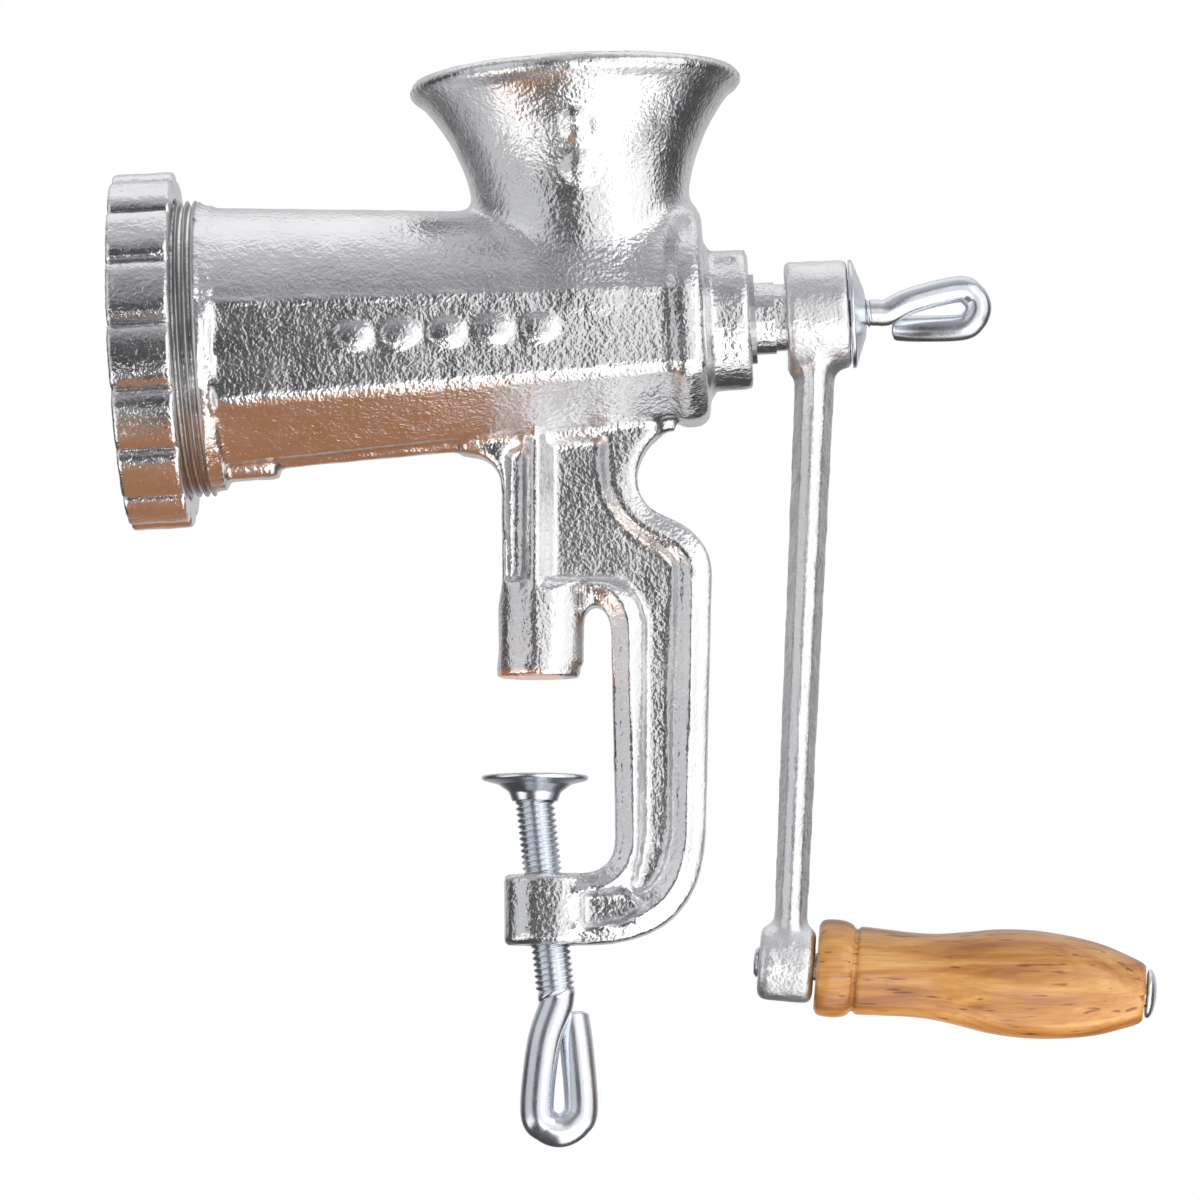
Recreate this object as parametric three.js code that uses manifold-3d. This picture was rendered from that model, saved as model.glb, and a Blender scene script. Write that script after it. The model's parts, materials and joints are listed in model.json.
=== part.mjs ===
// Hand crank meat grinder, size 8, with a table clamp.
//
// World frame, in millimetres, +Z up: the origin is the centre of the clamp pad's underside,
// where the grinder rests on a table top. +X runs from the mouth towards the crank, and the
// clamp frame lies in the XZ plane. The grinding head is inclined a little, mouth down, so
// everything in it is drawn in a head frame whose X axis is the crank axis.

import * as THREE from 'three';
import { mergeVertices } from 'three/addons/utils/BufferGeometryUtils.js';
import Module from 'manifold-3d';

const wasm = await Module();
wasm.setup();

// ---------------------------------------------------------------- driving dimensions

const GAP = 0.3;                       // clearance between neighbouring pieces
const HEAD_TILT = THREE.MathUtils.degToRad(2.9);
const HEAD_HEIGHT = 87.3;              // crank axis above the pad underside, at X = 0

const PLATE_RADIUS = 31;               // size 8 grinding plate, 62 mm across
const PLATE_THICKNESS = 6;
const PLATE_BACK = -95.5;
const PLATE_FACE = PLATE_BACK - PLATE_THICKNESS;
const PLATE_HOLE_RADIUS = 2.6;
const PLATE_CIRCLES = [[6, 10.6], [11, 17.6], [17, 24.6]];   // [holes, radius of their circle]
const PIN_RADIUS = 4;                  // pilot pin through the plate's centre
const KEY_WIDTH = 4;                   // key that stops the plate turning
const KEY_HALF = KEY_WIDTH / 2 + GAP;  // half the keyway
const KEY_TOP = -29.6;
const KEY_BOTTOM = -34.3;
const KNIFE_BACK = -87.2;
const KNIFE_THICKNESS = 8;
const KNIFE_RADIUS = 28.5;
const KNIFE_HUB_RADIUS = 10.5;
const KNIFE_BLADES = 4;
const KNIFE_ANGLE = 0.3;               // turn of the first blade from level
const STUB_SIDE = 9;                   // square drive of the knife
const STUB_DEPTH = 14;                 // how far the square reaches into the auger

const NECK_RADIUS = 37.3;              // outside of the neck's thread
const NECK_FRONT = -99.7;
const SLOPE_FRONT = -83.7;             // the thread ends here and a slope runs down to the barrel
const SLOPE_BACK = -79;
const SLOPE_FOOT = 34.5;
const RECESS_BACK = -86.2;

const RING_FRONT = -104.8;
const RING_BACK = -89.2;
const RING_RADIUS = 45;
const RING_LOBES = 16;
const RING_GROOVE_DEPTH = 3.8;
const RING_GROOVE_ANGLE = THREE.MathUtils.degToRad(19.5);
const RING_LIP = 2.9;
const RING_OPENING = 28.6;

const BARREL_BACK = 36;
const BARREL_RADIUS = 30.8;            // at BARREL_GAUGE, growing towards the mouth
const BARREL_GAUGE = -15;
const BARREL_TAPER = 0.066;
const BORE_FRONT_RADIUS = 26.8;
const BORE_BACK_RADIUS = 21.6;
const BORE_BACK = 31;
const HUB_RADIUS = 17.6;
const HUB_END = 53;
const BUSH_RADIUS = 11.2;
const BUSH_FRONT = 36.5;
const BUSH_END = 54.3;
const SHAFT_RADIUS = 9;
const DRIVE_START = 59.2;              // the shaft's end is turned down and flatted from here
const DRIVE_RADIUS = 8.4;
const PLATE_SEAT = PLATE_RADIUS + 0.4;

const FUNNEL_X = 12.1;                 // hopper axis, in the head frame
const RIM_HEIGHT = 61.3;
const RIM_RADIUS = 41.5;
const RIM_BEAD = 2.5;

const PAD_RADIUS = 10.4;
const SLOT_EDGE = 11.2;                // side of the slot next to the pad's stem
const FRAME_DEPTH = 18;                // clamp frame, front to back
const WEB_DEPTH = 9;

const SCREW_TILT = THREE.MathUtils.degToRad(6.3);
const SCREW_X = -1;                    // screw axis passes through (SCREW_X, SCREW_Z)
const SCREW_Z = -31.2;
const SCREW_TIP = -3;                  // top end of the thread, along the screw axis
const SCREW_RADIUS = 4.9;              // M10 thread
const EYE_ROD_RADIUS = 4.3;
const CLAMP_EYE_LEAN = 2.3;            // the clamp screw's eye sits to one side of its axis
const SCREW_HOLE = 5.2;
const DISC_TOP = -24.4;
const DISC_RADIUS = 13.4;

const CRANK_FRONT = 62.1;
const CRANK_BACK = 77.8;
const CRANK_HUB_RADIUS = 13.7;
const FLAT_HALF = 7.4;                 // half the distance across the shaft's drive flats
const BOSS_X = 53.5;                   // handle boss, in the head frame
const BOSS_Z = -161.8;
const BOSS_RADIUS = 9.2;
const BOSS_HALF = 6.9;
const HANDLE_TILT = THREE.MathUtils.degToRad(7.6);
const RIVET_RADIUS = 3.4;
const GRIP_START = 7.5;
const GRIP_END = 89;

const TIN = { color: 0xc9cacb, roughness: 0.34, metalness: 1.0 };
const ZINC = { color: 0xb4bac2, roughness: 0.25, metalness: 1.0 };
const STEEL = { color: 0x9ea1a4, roughness: 0.3, metalness: 1.0 };
const FIBRE = { color: 0x8a4a30, roughness: 0.8, metalness: 0.0 };
const WOOD = { color: 0xc98646, roughness: 0.45, metalness: 0.0 };

// ---------------------------------------------------------------- helpers

function toSolid(geometry) {
  const bare = geometry.clone();
  bare.deleteAttribute('normal');
  bare.deleteAttribute('uv');
  const merged = mergeVertices(bare, 1e-4);
  const solid = new wasm.Manifold(new wasm.Mesh({
    numProp: 3,
    vertProperties: Float32Array.from(merged.getAttribute('position').array),
    triVerts: Uint32Array.from(merged.getIndex().array),
  }));
  if (solid.volume() <= 0) throw new Error('a solid is inside out');
  return solid;
}

function toGeometry(solid) {
  const mesh = solid.getMesh();
  const geometry = new THREE.BufferGeometry();
  geometry.setAttribute('position', new THREE.BufferAttribute(mesh.vertProperties, 3));
  geometry.setIndex(new THREE.BufferAttribute(mesh.triVerts, 1));
  geometry.computeVertexNormals();
  return geometry;
}

// A closed profile of [along, radius] points turned about the X axis. The points run with the
// solid on their right when along points right and radius points up.
function turned(profile, segments = 32) {
  const points = profile.map(([along, radius]) => new THREE.Vector2(radius, along));
  return new THREE.LatheGeometry(points, segments).rotateZ(-Math.PI / 2);
}

// A plain tube or rod about the X axis from x0 to x1.
function tube(x0, x1, outer, inner = 0, segments = 32) {
  const profile = inner > 0
    ? [[x0, inner], [x0, outer], [x1, outer], [x1, inner], [x0, inner]]
    : [[x0, 0], [x0, outer], [x1, outer], [x1, 0]];
  return turned(profile, segments);
}

function box(x0, x1, y0, y1, z0, z1) {
  return new THREE.BoxGeometry(x1 - x0, y1 - y0, z1 - z0)
    .translate((x0 + x1) / 2, (y0 + y1) / 2, (z0 + z1) / 2);
}

// Closed skin through rings of points; every ring has the same count, ordered alike.
function loft(rings) {
  const count = rings[0].length;
  const positions = rings.flat().flatMap((p) => [p.x, p.y, p.z]);
  const faces = [];
  for (let i = 0; i + 1 < rings.length; i += 1) {
    for (let j = 0; j < count; j += 1) {
      const a = i * count + j;
      const b = i * count + ((j + 1) % count);
      faces.push(a, b, a + count, b, b + count, a + count);
    }
  }
  const last = (rings.length - 1) * count;
  for (let j = 1; j + 1 < count; j += 1) {
    faces.push(0, j + 1, j, last, last + j, last + j + 1);
  }
  const geometry = new THREE.BufferGeometry();
  geometry.setAttribute('position', new THREE.Float32BufferAttribute(positions, 3));
  geometry.setIndex(faces);
  return geometry;
}

// A shape drawn in XZ, given its depth along Y about the frame's middle plane.
function plateXZ(shape, depth, curveSegments = 6) {
  return new THREE.ExtrudeGeometry(shape, { depth, bevelEnabled: false, curveSegments })
    .translate(0, 0, -depth / 2)
    .rotateX(Math.PI / 2);
}

// A round rod bent along a curve.
function bentRod(curve, radius, steps, sides = 10) {
  const section = new THREE.Shape();
  for (let i = 0; i < sides; i += 1) {
    const angle = (i / sides) * Math.PI * 2;
    const point = [Math.cos(angle) * radius, Math.sin(angle) * radius];
    if (i === 0) section.moveTo(...point);
    else section.lineTo(...point);
  }
  return new THREE.ExtrudeGeometry(section, { steps, extrudePath: curve, bevelEnabled: false });
}

function piece(name, geometry, look) {
  const mesh = new THREE.Mesh(geometry, new THREE.MeshStandardMaterial(look));
  mesh.name = name;
  return mesh;
}

const headMatrix = new THREE.Matrix4()
  .makeRotationY(-HEAD_TILT)
  .setPosition(0, 0, HEAD_HEIGHT);

// ---------------------------------------------------------------- body casting

// Heights and half widths of the barrel section's corners, as shares of its radius.
const BARREL_RIDGE = 0.2;
const BARREL_LOWER_RIDGE = [0.95, -0.51];
const BARREL_BOTTOM = [0.36, -0.868];

// Barrel section: a round back and top over flat sides, two lower facets and a flat bottom.
function barrelRing(x) {
  const radius = BARREL_RADIUS - BARREL_TAPER * (x - BARREL_GAUGE);
  const ridge = Math.asin(BARREL_RIDGE);
  const points = [];
  const arcSteps = 12;
  for (let i = 0; i <= arcSteps; i += 1) {
    const angle = ridge + (i / arcSteps) * (Math.PI - 2 * ridge);
    points.push([radius * Math.cos(angle), radius * Math.sin(angle)]);
  }
  const corners = [BARREL_LOWER_RIDGE, BARREL_BOTTOM];
  points.push(...corners.map(([y, z]) => [-y * radius, z * radius]));
  points.push(...corners.reverse().map(([y, z]) => [y * radius, z * radius]));
  return points.map(([y, z]) => new THREE.Vector3(x, y, z));
}

function barrel() {
  const shell = toSolid(loft([barrelRing(SLOPE_BACK - 1), barrelRing(BARREL_BACK)]));
  const backCollar = toSolid(loft([
    barrelRing(32.5), ...[34.5, 40, 42].map((x, i) => {
      const swell = [1.4, 1.4, -0.6][i];
      return barrelRing(x).map((p) => {
        const length = Math.hypot(p.y, p.z);
        return new THREE.Vector3(x, p.y * (1 + swell / length), p.z * (1 + swell / length));
      });
    }),
  ]));
  const neck = toSolid(tube(NECK_FRONT, SLOPE_BACK, NECK_RADIUS, 0, 48));
  const slope = toSolid(turned([
    [SLOPE_FRONT, 0], [SLOPE_FRONT, NECK_RADIUS], [SLOPE_BACK, SLOPE_FOOT], [SLOPE_BACK, 0],
  ], 48));
  const keel = toSolid(loft([[-68, -31.2], [33, -27]].map(([x, z]) => [
    new THREE.Vector3(x, 3, z), new THREE.Vector3(x, 3, z + 6),
    new THREE.Vector3(x, -3, z + 6), new THREE.Vector3(x, -3, z),
  ])));
  const lug = toSolid(box(-82, -67, -6, 6, -35, -25));
  const hub = toSolid(turned([
    [30, 0], [30, HUB_RADIUS + 1.5], [42, HUB_RADIUS + 1.5], [44.5, HUB_RADIUS],
    [HUB_END - 0.8, HUB_RADIUS - 0.3], [HUB_END, HUB_RADIUS - 1.1], [HUB_END, 0],
  ], 40));
  return [backCollar, neck, slope, keel, lug, hub].reduce((sum, part) => sum.add(part), shell);
}

// Outside of the hopper: [height, radius] in the head frame, from inside the barrel to the rim.
const FUNNEL_OUTSIDE = [
  [2, 26.6], [24, 26.6], [33.5, 27.1], [39.5, 28.4], [46.8, 31.4], [53, 35.3], [57.4, 39.2],
];
const FUNNEL_WALL = 3.4;

function funnelOutside() {
  const bead = [0, 1, 2, 3, 4, 5].map((i) => {
    const angle = -Math.PI / 3 + (i / 5) * (Math.PI * 5 / 6);
    return [
      RIM_HEIGHT + RIM_BEAD * Math.sin(angle),
      RIM_RADIUS - RIM_BEAD + RIM_BEAD * Math.cos(angle),
    ];
  });
  const top = RIM_HEIGHT + RIM_BEAD;
  const profile = [[2, 0], ...FUNNEL_OUTSIDE, ...bead, [top, 0]];
  return toSolid(turned(profile, 44).rotateY(-Math.PI / 2).translate(FUNNEL_X, 0, 0));
}

function funnelInside() {
  const walls = FUNNEL_OUTSIDE.slice(1).map(([z, r]) => [z, r - FUNNEL_WALL]);
  const profile = [
    [4, 0], [4, 22], [20, 22], ...walls, [RIM_HEIGHT + 1, RIM_RADIUS - 4.6],
    [RIM_HEIGHT + 6, RIM_RADIUS - 4.2], [RIM_HEIGHT + 6, 0],
  ];
  return toSolid(turned(profile, 44).rotateY(-Math.PI / 2).translate(FUNNEL_X, 0, 0));
}

function bore() {
  return toSolid(turned([
    [NECK_FRONT - 1, 0], [NECK_FRONT - 1, PLATE_SEAT], [RECESS_BACK, PLATE_SEAT],
    [RECESS_BACK, BORE_FRONT_RADIUS], [BORE_BACK, BORE_BACK_RADIUS],
    [BORE_BACK, BUSH_RADIUS - 1.2], [BUSH_FRONT - GAP, BUSH_RADIUS - 1.2],
    [BUSH_FRONT - GAP, BUSH_RADIUS + GAP], [HUB_END + 1, BUSH_RADIUS + GAP], [HUB_END + 1, 0],
  ], 44));
}

// Outline of the clamp frame in world X and Z, from the barrel down to the screw boss.
function frameOutline() {
  const s = new THREE.Shape();
  s.moveTo(30, 64);
  s.lineTo(30, 60.7);
  s.quadraticCurveTo(24.6, 56, 24.6, 50);
  s.bezierCurveTo(24.6, 40, 34, 40.5, 38, 36.5);
  s.quadraticCurveTo(43.2, 32, 43.2, 26);
  s.lineTo(41.6, -38);
  s.bezierCurveTo(41, -56, 33, -66.4, 12, -66.7);
  s.lineTo(-8.6, -66.7);
  s.lineTo(-8.8, -49.3);
  s.lineTo(10, -49);
  s.quadraticCurveTo(19.2, -49, 19.2, -40);
  s.lineTo(18.2, 10);
  s.bezierCurveTo(18.2, 19.6, SLOT_EDGE, 20.4, SLOT_EDGE, 13);
  s.lineTo(SLOT_EDGE, 3);
  s.lineTo(-10, 3);
  s.lineTo(-10.2, 18);
  s.lineTo(-9, 24);
  s.lineTo(-9.2, 46.5);
  s.bezierCurveTo(-9.4, 53, -12.5, 55.8, -19, 56.2);
  s.lineTo(-19, 64);
  s.closePath();
  return s;
}

// Recess on each side of the frame: the sunk panel inside the border of the leg.
function panelOutline() {
  const s = new THREE.Shape();
  s.moveTo(3.3, 58);
  s.lineTo(16, 59.2);
  s.bezierCurveTo(15, 46, 17.5, 42, 24.2, 36);
  s.bezierCurveTo(30, 31, 34, 31, 34, 26);
  s.lineTo(32.6, -38);
  s.bezierCurveTo(32, -50, 27, -55, 22.5, -54);
  s.lineTo(26.3, -40);
  s.lineTo(26.6, 13);
  s.quadraticCurveTo(26, 23, 17, 24.3);
  s.lineTo(3.3, 24.3);
  s.closePath();
  return s;
}

function frontPanelOutline() {
  const s = new THREE.Shape();
  s.moveTo(-8.4, 24.3);
  s.lineTo(-3.6, 24.3);
  s.lineTo(-3.6, 57);
  s.lineTo(-8.4, 54);
  s.closePath();
  return s;
}

function clampFrame() {
  const pad = toSolid(new THREE.LatheGeometry([
    new THREE.Vector2(0, 0), new THREE.Vector2(PAD_RADIUS - 0.6, 0),
    new THREE.Vector2(PAD_RADIUS, 0.6), new THREE.Vector2(PAD_RADIUS, 4.4),
    new THREE.Vector2(PAD_RADIUS - 0.9, 5.3), new THREE.Vector2(0, 5.3),
  ], 32).rotateX(Math.PI / 2));
  let frame = toSolid(plateXZ(frameOutline(), FRAME_DEPTH));
  const pocket = (FRAME_DEPTH - WEB_DEPTH) / 2;
  for (const side of [-1, 1]) {
    const middle = side * (FRAME_DEPTH / 2);
    for (const outline of [panelOutline(), frontPanelOutline()]) {
      frame = frame.subtract(toSolid(plateXZ(outline, 2 * pocket).translate(0, middle, 0)));
    }
  }
  return frame.add(pad);
}

function screwAxisPlaced(geometry) {
  return geometry.rotateY(Math.PI / 2 - SCREW_TILT).translate(SCREW_X, 0, SCREW_Z);
}

function lozenge(x, z, width, height, depth) {
  const s = new THREE.Shape();
  s.moveTo(x - width / 2, z);
  s.quadraticCurveTo(x, z - height / 2, x + width / 2, z);
  s.quadraticCurveTo(x, z + height / 2, x - width / 2, z);
  return plateXZ(s, depth, 4);
}

function bodyCasting() {
  const ornaments = [-28, -14, 0].map((x) => toSolid(
    lozenge(x - 8, -3.5, 10, 6, 3).translate(0, -29.2 + 0.0615 * x, 0)));
  const head = ornaments.reduce((sum, part) => sum.add(part), barrel().add(funnelOutside()))
    .subtract(bore())
    .subtract(funnelInside())
    .subtract(toSolid(tube(BORE_BACK - 1, BUSH_FRONT, SHAFT_RADIUS + GAP, 0, 32)))
    .subtract(toSolid(box(PLATE_BACK - 7, RECESS_BACK, -KEY_HALF, KEY_HALF, KEY_BOTTOM - GAP, KEY_TOP + 0.6)));
  const inWorld = head.transform(headMatrix.elements);
  const borePlug = toSolid(tube(RECESS_BACK, BORE_BACK, BORE_FRONT_RADIUS - 1.8, 0, 32))
    .transform(headMatrix.elements);
  const screwHole = toSolid(screwAxisPlaced(tube(10, 46, SCREW_HOLE, 0, 24)));
  return toGeometry(clampFrame().subtract(borePlug).add(inWorld).subtract(screwHole));
}

// ---------------------------------------------------------------- cutting parts in the mouth

function ringNut() {
  const outline = new THREE.Shape();
  const steps = 6;
  for (let i = 0; i < RING_LOBES * steps; i += 1) {
    const angle = RING_GROOVE_ANGLE + (i / (RING_LOBES * steps)) * Math.PI * 2;
    const rise = Math.abs(Math.sin(((angle - RING_GROOVE_ANGLE) * RING_LOBES) / 2));
    const radius = RING_RADIUS - RING_GROOVE_DEPTH * (1 - Math.sqrt(1 - (1 - rise) ** 2));
    const point = [-radius * Math.sin(angle), radius * Math.cos(angle)];
    if (i === 0) outline.moveTo(...point);
    else outline.lineTo(...point);
  }
  const width = RING_BACK - RING_FRONT;
  const rim = new THREE.ExtrudeGeometry(outline, { depth: width, bevelEnabled: false })
    .rotateY(Math.PI / 2)
    .translate(RING_FRONT, 0, 0);
  const inside = turned([
    [RING_FRONT - 1, 0], [RING_FRONT - 1, RING_OPENING + 1.5], [RING_FRONT + 1, RING_OPENING],
    [RING_FRONT + RING_LIP, RING_OPENING], [RING_FRONT + RING_LIP, NECK_RADIUS + GAP],
    [RING_BACK + 1, NECK_RADIUS + GAP], [RING_BACK + 1, 0],
  ], 48);
  return toGeometry(toSolid(rim).subtract(toSolid(inside)));
}

function grindingPlate() {
  let plate = toSolid(tube(PLATE_FACE, PLATE_BACK, PLATE_RADIUS, PIN_RADIUS + GAP, 48));
  const hole = toSolid(tube(PLATE_FACE - 1, PLATE_BACK + 1, PLATE_HOLE_RADIUS, 0, 8));
  for (const [count, radius] of PLATE_CIRCLES) {
    for (let i = 0; i < count; i += 1) {
      const angle = (i / count) * Math.PI * 2;
      plate = plate.subtract(hole.translate([0, radius * Math.cos(angle), radius * Math.sin(angle)]));
    }
  }
  const keyway = box(PLATE_FACE - 1, PLATE_BACK + 1, -KEY_HALF, KEY_HALF, KEY_BOTTOM, KEY_TOP + 0.4);
  return toGeometry(plate.subtract(toSolid(keyway)));
}

function plateKey() {
  const half = KEY_WIDTH / 2;
  return box(PLATE_FACE + GAP, RECESS_BACK - GAP, -half, half, KEY_BOTTOM, KEY_TOP);
}

function cutterKnife() {
  const front = KNIFE_BACK - KNIFE_THICKNESS;
  let knife = toSolid(tube(front, KNIFE_BACK, KNIFE_HUB_RADIUS, 0, 24));
  for (let i = 0; i < KNIFE_BLADES; i += 1) {
    const blade = new THREE.Shape();
    blade.moveTo(0, -5.5);
    blade.lineTo(KNIFE_RADIUS, -2.6);
    blade.lineTo(KNIFE_RADIUS, 3.6);
    blade.lineTo(0, 4.5);
    blade.closePath();
    const arm = new THREE.ExtrudeGeometry(blade, { depth: KNIFE_THICKNESS, bevelEnabled: false })
      .rotateY(Math.PI / 2)
      .translate(front, 0, 0)
      .rotateX((i / KNIFE_BLADES) * Math.PI * 2 + KNIFE_ANGLE);
    knife = knife.add(toSolid(arm));
  }
  const half = STUB_SIDE / 2 + GAP;
  return toGeometry(knife.subtract(toSolid(box(front - 1, KNIFE_BACK + 1, -half, half, -half, half))));
}

function driveStub() {
  const half = STUB_SIDE / 2;
  const square = toSolid(box(KNIFE_BACK - KNIFE_THICKNESS, KNIFE_BACK + STUB_DEPTH, -half, half, -half, half));
  const pin = toSolid(tube(PLATE_FACE + 0.5, KNIFE_BACK, PIN_RADIUS, 0, 20));
  return toGeometry(square.add(pin));
}

// ---------------------------------------------------------------- auger

const AUGER_FRONT = -86.4;
const AUGER_TAIL = 28.4;
const WORM_TURNS = 3.5;
const WORM_ROOT = 3.4;                 // half the flight's thickness at the core
const WORM_CREST = 1.1;                // and at its edge
const WORM_CLEARANCE = 1.2;            // flight to bore
const CRANK_THREAD_RADIUS = 3.6;

// Left-hand flight, so that cranking clockwise drives the food to the mouth.
function worm() {
  const stepsPerTurn = 16;
  const start = AUGER_FRONT;
  const length = AUGER_TAIL - 3 - start;
  const rings = [];
  for (let i = 0; i <= WORM_TURNS * stepsPerTurn; i += 1) {
    const t = i / (WORM_TURNS * stepsPerTurn);
    const angle = -t * WORM_TURNS * Math.PI * 2;
    const x = start + 2.2 + (length - 4.4) * t;
    const reach = BORE_FRONT_RADIUS - WORM_CLEARANCE + (BORE_BACK_RADIUS - BORE_FRONT_RADIUS) * t;
    const section = [
      [-WORM_ROOT, 6], [-WORM_CREST, reach], [WORM_CREST, reach], [WORM_ROOT, 6],
    ];
    rings.push(section.map(([along, radius]) => new THREE.Vector3(
      x + along, radius * Math.cos(angle), radius * Math.sin(angle))));
  }
  return toSolid(loft(rings));
}

function auger() {
  const core = toSolid(turned([
    [AUGER_FRONT, 0], [AUGER_FRONT, 9.5], [-40, 10], [20, 13.5], [AUGER_TAIL, 14.5],
    [AUGER_TAIL, SHAFT_RADIUS], [DRIVE_START, SHAFT_RADIUS], [DRIVE_START, DRIVE_RADIUS],
    [CRANK_BACK - 1.4, DRIVE_RADIUS],
    [CRANK_BACK - 1.4, 0],
  ], 32));
  const face = toSolid(box(AUGER_FRONT - 4, AUGER_FRONT, -40, 40, -40, 40));
  const half = STUB_SIDE / 2 + GAP;
  const socket = toSolid(box(AUGER_FRONT - 1, KNIFE_BACK + STUB_DEPTH + GAP, -half, half, -half, half));
  const threadHole = toSolid(tube(60, CRANK_BACK, CRANK_THREAD_RADIUS + 0.2 + GAP, 0, 20));
  let solid = core.add(worm()).subtract(face).subtract(socket).subtract(threadHole);
  for (const side of [-1, 1]) {
    const y = [side * FLAT_HALF, side * 12].sort((a, b) => a - b);
    solid = solid.subtract(toSolid(box(DRIVE_START, CRANK_BACK, y[0], y[1], -12, 12)));
  }
  return toGeometry(solid);
}

// ---------------------------------------------------------------- crank

// The arm is a tapering bar with a ridge along the middle of each wide face.
function crankArm() {
  const sectionAt = (t) => {
    const x = 68.9 + (BOSS_X + 0.7 - 68.9) * t;
    const z = -8 + (BOSS_Z + 4 + 8) * t;
    const halfX = 4.6 - 0.9 * t;
    const halfY = 7.6 - 1.4 * t;
    const corners = [
      [1, -0.35], [0.72, -0.8], [0.1, -1], [-0.72, -0.8], [-1, -0.35],
      [-1, 0.35], [-0.72, 0.8], [0.1, 1], [0.72, 0.8], [1, 0.35],
    ];
    return corners.map(([cx, cy]) => new THREE.Vector3(x + cx * halfX, cy * halfY, z));
  };
  const bar = toSolid(loft([0, 1].map(sectionAt)));
  const hub = toSolid(turned([
    [CRANK_FRONT, 0], [CRANK_FRONT, CRANK_HUB_RADIUS - 0.8], [CRANK_FRONT + 0.8, CRANK_HUB_RADIUS],
    [CRANK_BACK - 1.5, CRANK_HUB_RADIUS - 0.3], [CRANK_BACK, CRANK_HUB_RADIUS - 1.4],
    [CRANK_BACK, 0],
  ], 36));
  const boss = toSolid(turned([
    [-BOSS_HALF, 0], [-BOSS_HALF, BOSS_RADIUS - 1], [1 - BOSS_HALF, BOSS_RADIUS],
    [BOSS_HALF - 1, BOSS_RADIUS], [BOSS_HALF, BOSS_RADIUS - 1], [BOSS_HALF, 0],
  ], 32).rotateY(HANDLE_TILT).translate(BOSS_X, 0, BOSS_Z));
  const rivetHole = toSolid(tube(-12, 12, RIVET_RADIUS + GAP, 0, 20)
    .rotateY(HANDLE_TILT)
    .translate(BOSS_X, 0, BOSS_Z));
  const socket = toSolid(tube(CRANK_FRONT - 1, CRANK_BACK + 1, DRIVE_RADIUS + GAP, 0, 32))
    .subtract(toSolid(box(50, 90, FLAT_HALF + GAP, 12, -12, 12)))
    .subtract(toSolid(box(50, 90, -12, -FLAT_HALF - GAP, -12, 12)));
  return toGeometry(bar.add(hub).add(boss).subtract(rivetHole).subtract(socket));
}

function crankWasher() {
  const base = CRANK_BACK + GAP;
  return turned([
    [base, 12.2], [base, 13.6], [base + 1.1, 13.6], [base + 3.9, 5.2], [base + 3.9, 4.1],
    [base + 2.6, 4.1], [base, 12.2],
  ], 36);
}

// An eye: a rod leaves the shank, swings out to one side, turns round and comes back beside it.
// A lean moves the whole eye towards the side it first swings to.
function eyeCurve(reach, halfWidth, start, side = 1, lean = 0) {
  const centre = reach - halfWidth;
  const span = centre - start;
  const path = [
    [start, 0, 0],
    [start + 3, 0, 0],
    [start + span * 0.45, -0.6, halfWidth * 0.55 + lean * 0.6],
    [centre, -0.6, halfWidth + lean],
    [reach - halfWidth * 0.25, 0, halfWidth * 0.62 + lean],
    [reach, 0.4, lean],
    [reach - halfWidth * 0.3, 0.8, lean - halfWidth * 0.66],
    [centre, 1.4, lean - halfWidth],
    [start + span * 0.5, 3.4, lean * 0.6 - halfWidth * 0.9],
    [start + span * 0.22, 5.2, lean * 0.3 - halfWidth * 0.72],
  ];
  return new THREE.CatmullRomCurve3(path.map(([x, y, z]) => new THREE.Vector3(x, y, side * z)));
}

function crankEyeScrew() {
  const thread = toSolid(tube(63, 86, CRANK_THREAD_RADIUS, 0, 20));
  const eye = toSolid(bentRod(eyeCurve(110.3, 4.7, 84.5), 3.4, 34));
  return toGeometry(thread.add(eye));
}

function handleRivet() {
  const domed = [0, 1, 2, 3].map((i) => {
    const angle = (i / 3) * (Math.PI / 2);
    return [GRIP_END + 1.7 + 1.5 * Math.sin(angle), 6.1 * Math.cos(angle)];
  });
  return turned([
    [-BOSS_HALF - 1.3, 0], [-BOSS_HALF - 1.1, 3.2], [-BOSS_HALF - GAP, 3.9],
    [-BOSS_HALF - GAP, RIVET_RADIUS], [GRIP_END + 0.6, RIVET_RADIUS],
    [GRIP_END + 0.6, 5.8], ...domed,
  ], 24);
}

function handleGrip() {
  const outside = [
    [GRIP_START, 10.6], [8.3, 11.6], [10.2, 12.1], [13.6, 12.1], [15.9, 11.5], [16.8, 10.5],
    [17.4, 10.4], [18.2, 10.9], [24, 10.75], [31, 10.5], [37, 10.7], [44, 11.7], [51, 12.9],
    [58, 13.4], [64, 13.3], [71, 12.6], [78, 11.3], [84, 9.3], [GRIP_END - 0.6, 7.4],
    [GRIP_END, 6.6],
  ];
  const bored = RIVET_RADIUS + GAP;
  return turned([[GRIP_START, bored], ...outside, [GRIP_END, bored], [GRIP_START, bored]], 24);
}

// ---------------------------------------------------------------- clamp screw

function clampScrew() {
  const thread = toSolid(tube(SCREW_TIP, 52, SCREW_RADIUS, 0, 24));
  const eye = toSolid(bentRod(eyeCurve(82, 5.5, 47, -1, CLAMP_EYE_LEAN), EYE_ROD_RADIUS, 34));
  return toGeometry(toSolid(screwAxisPlaced(toGeometry(thread.add(eye)))));
}

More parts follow.
